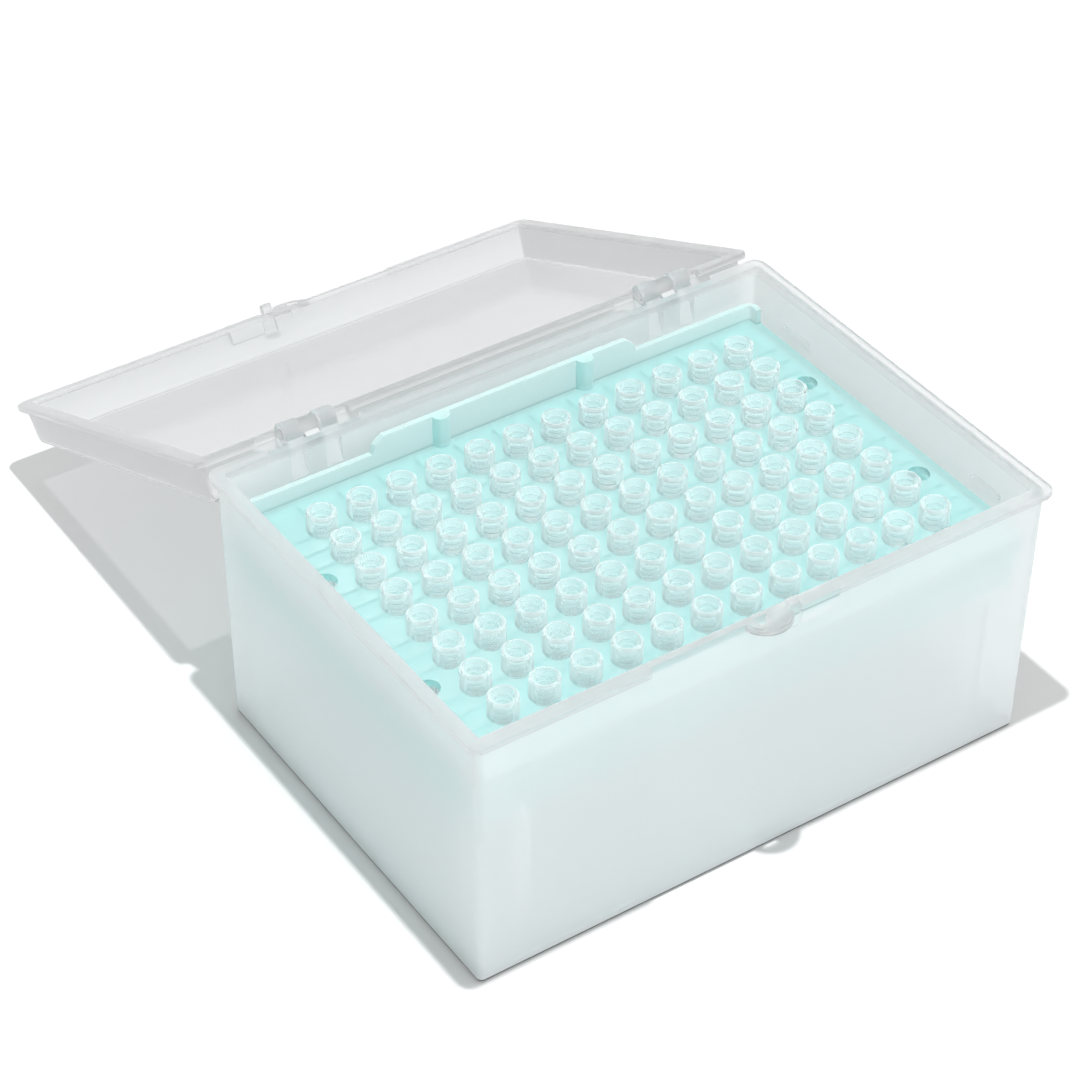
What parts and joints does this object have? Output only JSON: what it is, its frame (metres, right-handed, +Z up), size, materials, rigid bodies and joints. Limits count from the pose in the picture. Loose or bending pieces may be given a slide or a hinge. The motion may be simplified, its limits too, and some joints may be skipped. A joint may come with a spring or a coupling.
{
  "type": "pipette tip box",
  "caption": "Rectangular clear rack box with a clip-hinged lid, a drop-in perforated tray and a full grid of slender conical liquid-handling tips standing in it.",
  "frame": {"origin": "middle of the base's underside, where it stands on the table", "axes": "+Z up, X along the long side, -Y towards the clasp, +Y towards the hinge"},
  "size_m": [0.1318, 0.1886, 0.0632],
  "materials": {
    "frosted_polypropylene": "frosted, see-through moulded polypropylene",
    "teal_polypropylene": "satin, lightly see-through moulded polypropylene",
    "clear_polypropylene": "polished, clear moulded polypropylene"
  },
  "bodies": {
    "box": {"base": "frosted_polypropylene", "tray": "teal_polypropylene", "tray_frame": "teal_polypropylene", "tips_column_01": "clear_polypropylene", "tips_column_02": "clear_polypropylene", "tips_column_03": "clear_polypropylene", "tips_column_04": "clear_polypropylene", "tips_column_05": "clear_polypropylene", "tips_column_06": "clear_polypropylene", "tips_column_07": "clear_polypropylene", "tips_column_08": "clear_polypropylene", "tips_column_09": "clear_polypropylene", "tips_column_10": "clear_polypropylene", "tips_column_11": "clear_polypropylene", "tips_column_12": "clear_polypropylene"},
    "cover": {"lid": "frosted_polypropylene"}
  },
  "joints": [
    {"name": "lid_hinge", "type": "hinge", "parent": "box", "child": "cover", "pos_m": [0, 0.0488, 0.0608], "axis": [1, 0, 0], "range_deg": [0, 204.5]}
  ]
}
